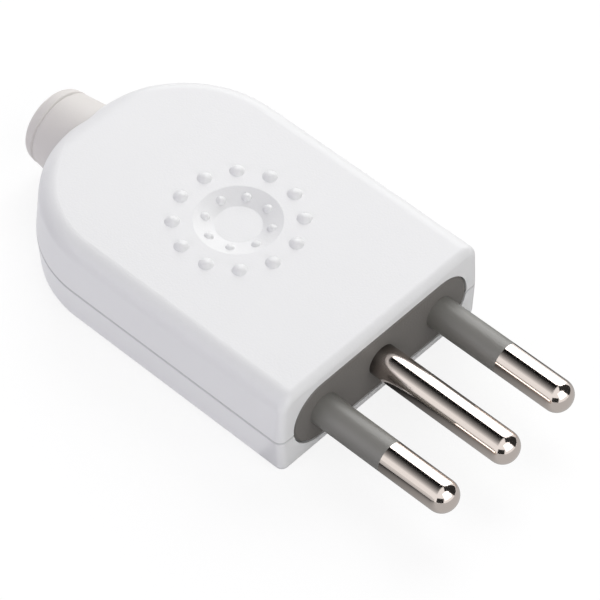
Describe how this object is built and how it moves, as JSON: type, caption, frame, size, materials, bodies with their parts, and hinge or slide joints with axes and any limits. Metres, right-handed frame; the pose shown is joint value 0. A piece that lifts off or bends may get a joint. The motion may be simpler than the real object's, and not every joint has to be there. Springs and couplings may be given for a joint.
{
  "type": "grounded plug",
  "caption": "Flat in-line grounded plug: split moulded housing, round pins in a row with sleeved line pins, screw terminals, a cord clamp and a cord guard.",
  "frame": {"origin": "on the earth pin's axis where it leaves the front face of the pin carrier", "axes": "+X along the pins towards their tips, +Y across the row of pins, +Z out of the gripped top face"},
  "size_m": [0.0726, 0.0326, 0.0128],
  "materials": {
    "housing": "satin white moulded plastic",
    "carrier": "gray moulded plastic",
    "sleeve": "gray moulded insulation",
    "pin_metal": "bright nickel plate",
    "fastener": "zinc plate",
    "clamp": "white moulded plastic",
    "guard": "off-white flexible plastic"
  },
  "bodies": {
    "root": {"upper_shell": "housing", "lower_cover": "housing", "pin_carrier": "carrier", "earth_pin": "pin_metal", "line_pin_left": "pin_metal", "line_pin_right": "pin_metal", "line_sleeve_left": "sleeve", "line_sleeve_right": "sleeve", "terminal_screw_earth": "fastener", "terminal_screw_left": "fastener", "terminal_screw_right": "fastener", "cord_clamp_bar": "clamp", "cord_clamp_screw_left": "fastener", "cord_clamp_screw_right": "fastener", "closing_screw_left": "fastener", "closing_screw_right": "fastener", "closing_nut_left": "fastener", "closing_nut_right": "fastener", "cord_guard": "guard"}
  },
  "joints": []
}
